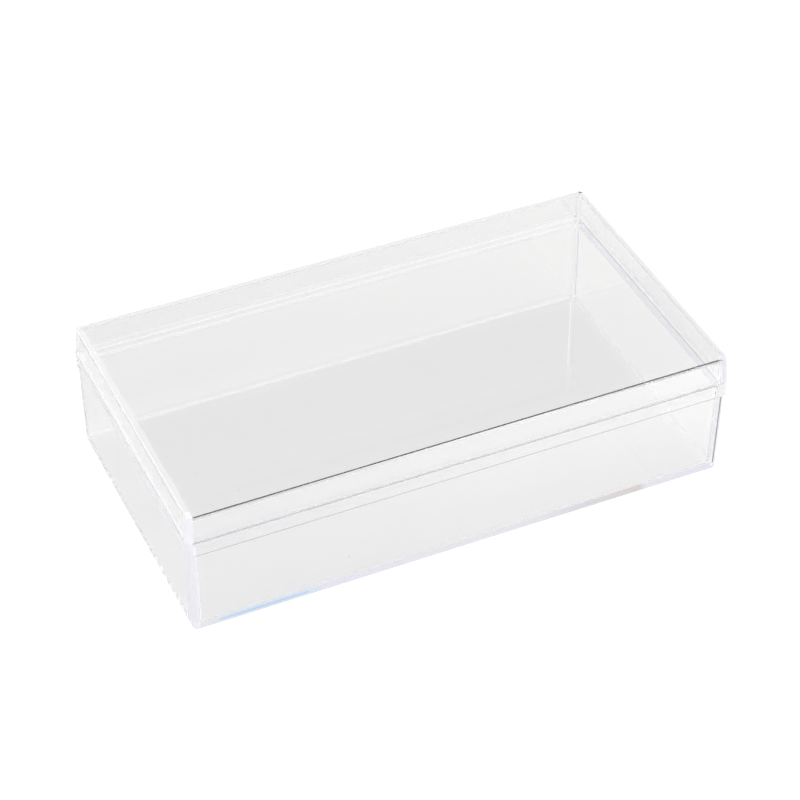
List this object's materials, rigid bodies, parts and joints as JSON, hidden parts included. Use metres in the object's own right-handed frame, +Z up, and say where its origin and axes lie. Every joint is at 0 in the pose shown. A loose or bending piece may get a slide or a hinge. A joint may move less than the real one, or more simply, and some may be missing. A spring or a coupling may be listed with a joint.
{
  "type": "lidded display box",
  "caption": "Shallow clear rectangular display box: a tapered open tray with a collar and lip, and a flat lift-off lid whose skirt drops over the lip.",
  "frame": {"origin": "centre of the tray's underside, on the surface that the box stands on", "axes": "+X along the long side, +Y along the short side, +Z up through the lid"},
  "size_m": [0.2, 0.11, 0.05],
  "materials": {
    "tray_plastic": "clear moulded plastic, polished inside and out",
    "lid_plastic": "clear moulded plastic, polished inside and out"
  },
  "bodies": {
    "tray": {"base_tray": "tray_plastic"},
    "lid": {"lid": "lid_plastic"}
  },
  "joints": [
    {"name": "lid_lift", "type": "slide", "parent": "tray", "child": "lid", "axis": [0, 0, 1], "range_m": [0, 0.06]}
  ]
}
